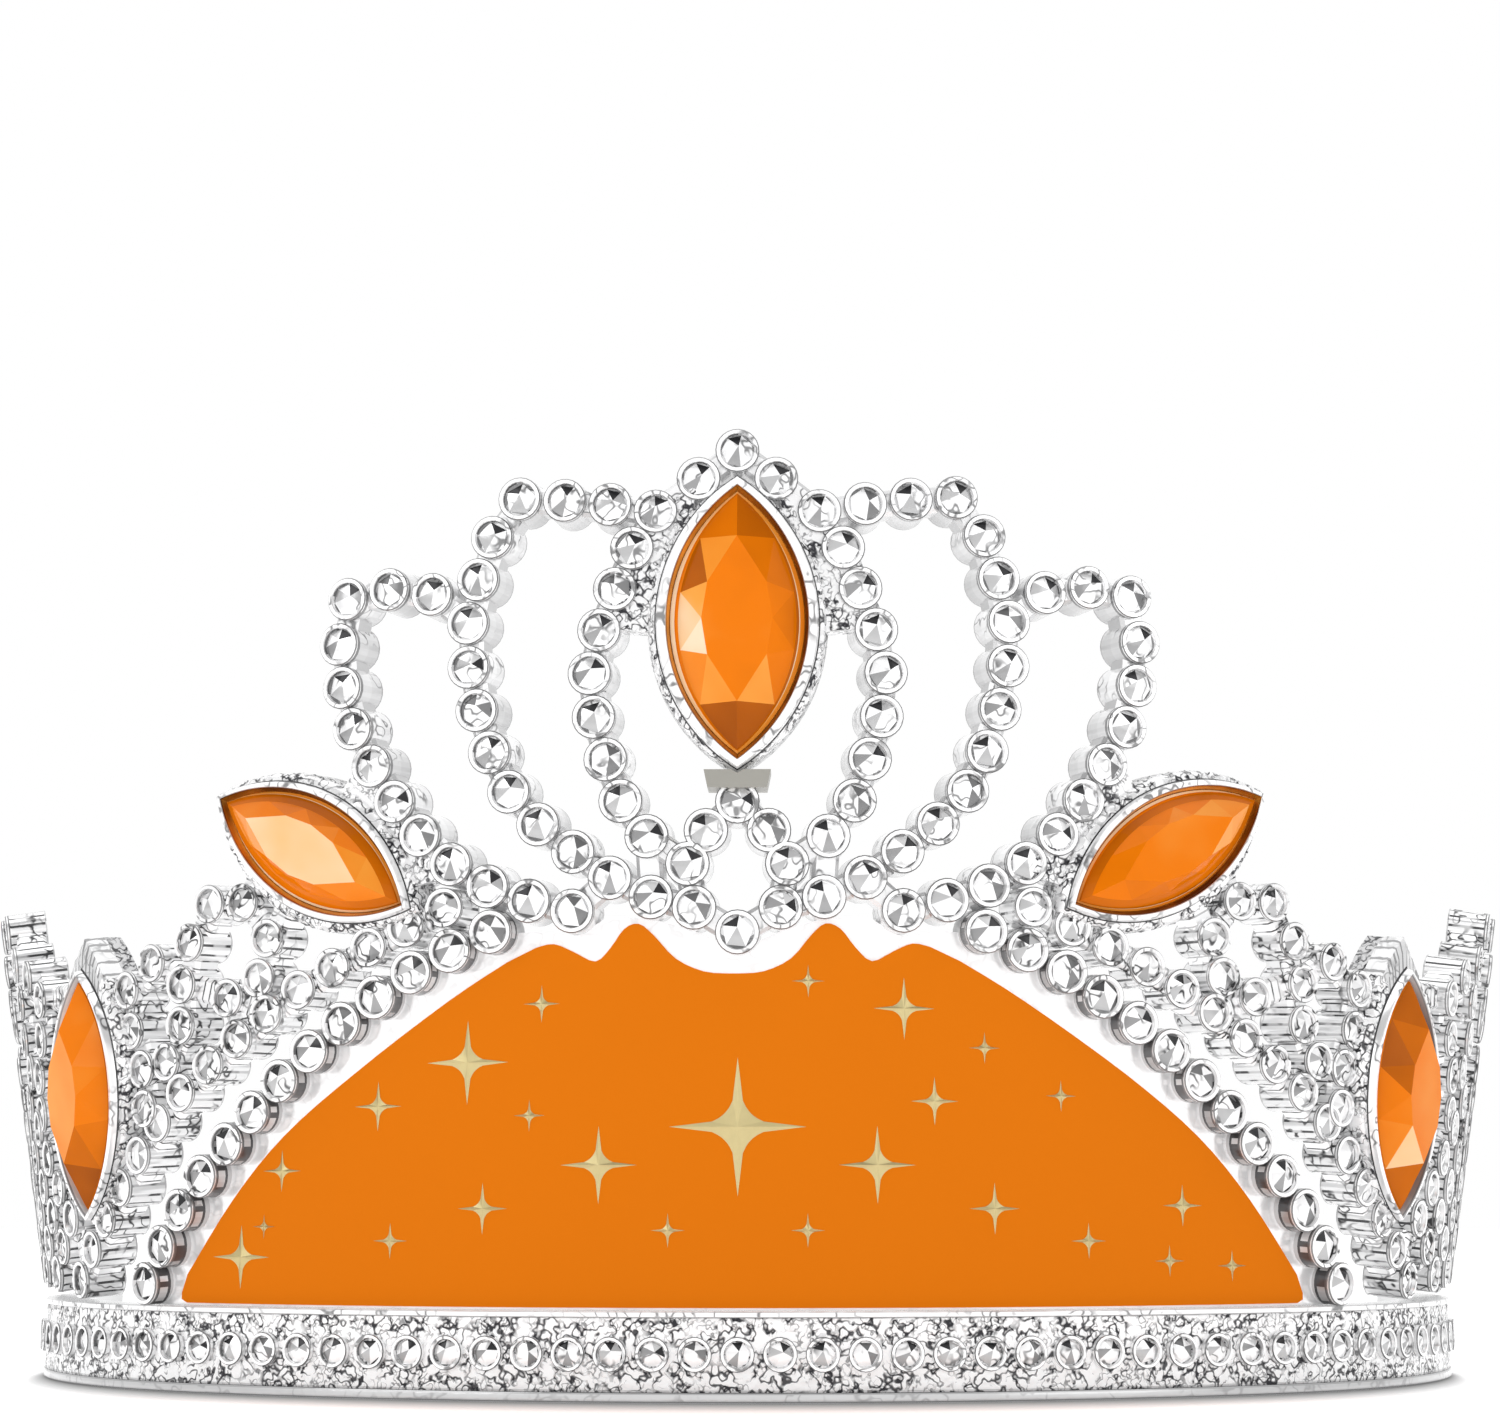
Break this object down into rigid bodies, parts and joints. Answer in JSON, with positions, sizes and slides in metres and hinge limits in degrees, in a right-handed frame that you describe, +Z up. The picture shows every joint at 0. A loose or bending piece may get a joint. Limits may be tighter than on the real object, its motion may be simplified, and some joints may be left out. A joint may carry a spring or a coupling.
{
  "type": "novelty tiara",
  "caption": "Moulded novelty tiara: textured base band, arched front plate with a coloured label and stars, and a pierced crest and sides of faceted beads holding pointed oval stones.",
  "frame": {"origin": "bottom centre of the whole tiara, on the surface that the band's underside rests on", "axes": "+X to the viewer's right as seen from the front, +Y towards the open back, +Z up"},
  "size_m": [0.1656, 0.0751, 0.0908],
  "materials": {
    "silver_plastic": "bright vacuum metallised plastic",
    "label_print": "flat printed colour with a light gloss",
    "star_foil": "satin pale gold foil",
    "stone_plastic": "clear tinted acrylic with a foiled back",
    "tab_plastic": "plain satin grey"
  },
  "bodies": {
    "root": {"base_band": "silver_plastic", "front_plate": "silver_plastic", "crest": "silver_plastic", "left_openwork": "silver_plastic", "right_openwork": "silver_plastic", "centre_tab": "tab_plastic", "centre_setting": "silver_plastic", "left_front_setting": "silver_plastic", "right_front_setting": "silver_plastic", "left_side_setting": "silver_plastic", "right_side_setting": "silver_plastic", "centre_stone": "stone_plastic", "left_front_stone": "stone_plastic", "right_front_stone": "stone_plastic", "left_side_stone": "stone_plastic", "right_side_stone": "stone_plastic", "label": "label_print", "label_stars": "star_foil"}
  },
  "joints": []
}
